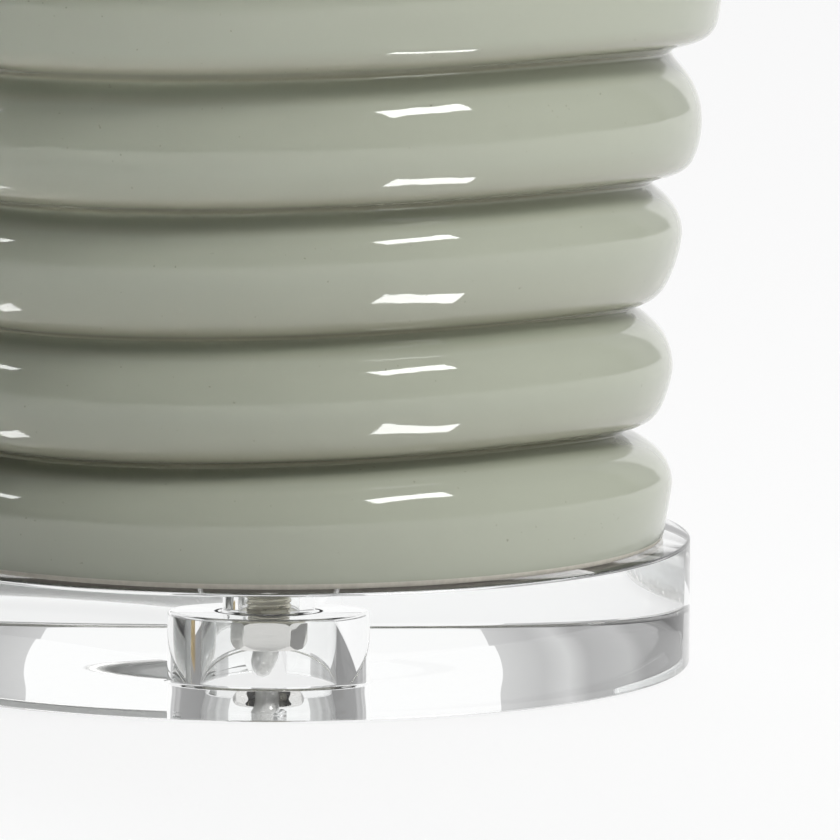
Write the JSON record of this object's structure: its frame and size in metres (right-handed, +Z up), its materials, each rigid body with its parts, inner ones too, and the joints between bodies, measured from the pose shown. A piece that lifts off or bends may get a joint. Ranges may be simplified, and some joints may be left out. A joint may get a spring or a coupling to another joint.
{
  "type": "table lamp",
  "caption": "Table lamp with a ribbed glazed ceramic jar body on a clear round base, a harp, a turn-knob holder and a tapered drum shade.",
  "frame": {"origin": "centre of the clear base's underside, on the table", "axes": "+Z up along the lamp's pipe, -Y towards the viewer and the switch knob, +X to the viewer's right"},
  "size_m": [0.3809, 0.381, 0.6945],
  "materials": {
    "acrylic": "clear polished",
    "glaze": "glossy celadon glaze",
    "nickel": "polished nickel plate",
    "thread": "zinc plated thread",
    "rubber": "matt",
    "felt": "felt",
    "liner": "pressed paper",
    "core": "moulded",
    "brass": "plain",
    "knob": "satin",
    "cap_metal": "rolled",
    "bulb_glass": "white frosted",
    "linen": "plain weave linen",
    "backing": "smooth translucent",
    "wire_white": "white enamel",
    "cord": "clear jacket over silver strands",
    "plug": "clear moulded",
    "lead": "clear insulation"
  },
  "bodies": {
    "lamp_body": {"acrylic_base": "acrylic", "lock_washer": "thread", "base_nut": "nickel", "threaded_pipe": "thread", "jar_body": "glaze", "jar_floor_bush": "rubber", "cap_gasket": "felt", "neck_cap": "nickel", "neck_spacer": "nickel", "harp_saddle": "nickel", "harp": "nickel", "harp_stud": "nickel", "holder_cap": "nickel", "holder_shell": "nickel", "holder_liner": "liner", "holder_core": "core", "screw_shell": "brass", "centre_contact": "brass", "terminal_screws": "brass", "lead_wires": "lead", "cord_in_pipe": "cord", "cord_run": "cord", "cord_coil": "cord", "plug_body": "plug", "plug_blade_neutral": "brass", "plug_blade_live": "brass"},
    "switch": {"switch_knob": "knob", "switch_shaft": "brass"},
    "shade": {"shade_linen": "linen", "shade_backing": "backing", "shade_bottom_trim": "linen", "shade_top_trim": "linen", "shade_bottom_ring": "wire_white", "spider_fitter": "nickel"},
    "finial_thread": {"finial_insert": "brass"},
    "finial": {"finial_knob": "nickel"},
    "bulb_contact": {"bulb_tip": "core"},
    "bulb": {"bulb_cap": "cap_metal", "bulb_glass": "bulb_glass"},
    "sleeve_left": {"harp_sleeve_left": "nickel"},
    "sleeve_right": {"harp_sleeve_right": "nickel"}
  },
  "joints": [
    {"name": "switch_turn", "type": "hinge", "parent": "lamp_body", "child": "switch", "pos_m": [0, 0, 0.4323], "axis": [0, -1, 0], "continuous": true},
    {"name": "shade_swivel", "type": "hinge", "parent": "lamp_body", "child": "shade", "pos_m": [0, 0, 0.6584], "axis": [0, 0, 1], "continuous": true},
    {"name": "finial_lift", "type": "slide", "parent": "lamp_body", "child": "finial_thread", "axis": [0, 0, 1], "range_m": [0, 0.0118]},
    {"name": "finial_turn", "type": "hinge", "parent": "finial_thread", "child": "finial", "pos_m": [0, 0, 0.6605], "axis": [0, 0, 1], "range_deg": [0, 4500]},
    {"name": "bulb_lift", "type": "slide", "parent": "lamp_body", "child": "bulb_contact", "axis": [0, 0, 1], "range_m": [0, 0.0109]},
    {"name": "bulb_turn", "type": "hinge", "parent": "bulb_contact", "child": "bulb", "pos_m": [0, 0, 0.4468], "axis": [0, 0, 1], "range_deg": [0, 1080]},
    {"name": "sleeve_left_slide", "type": "slide", "parent": "lamp_body", "child": "sleeve_left", "axis": [0, 0, 1], "range_m": [0, 0.018]},
    {"name": "sleeve_right_slide", "type": "slide", "parent": "lamp_body", "child": "sleeve_right", "axis": [0, 0, 1], "range_m": [0, 0.018]}
  ],
  "couplings": [
    {"joint": "finial_lift", "follows": "finial_turn", "m_per_rad": 0.00014972},
    {"joint": "bulb_lift", "follows": "bulb_turn", "m_per_rad": 0.00057751}
  ]
}
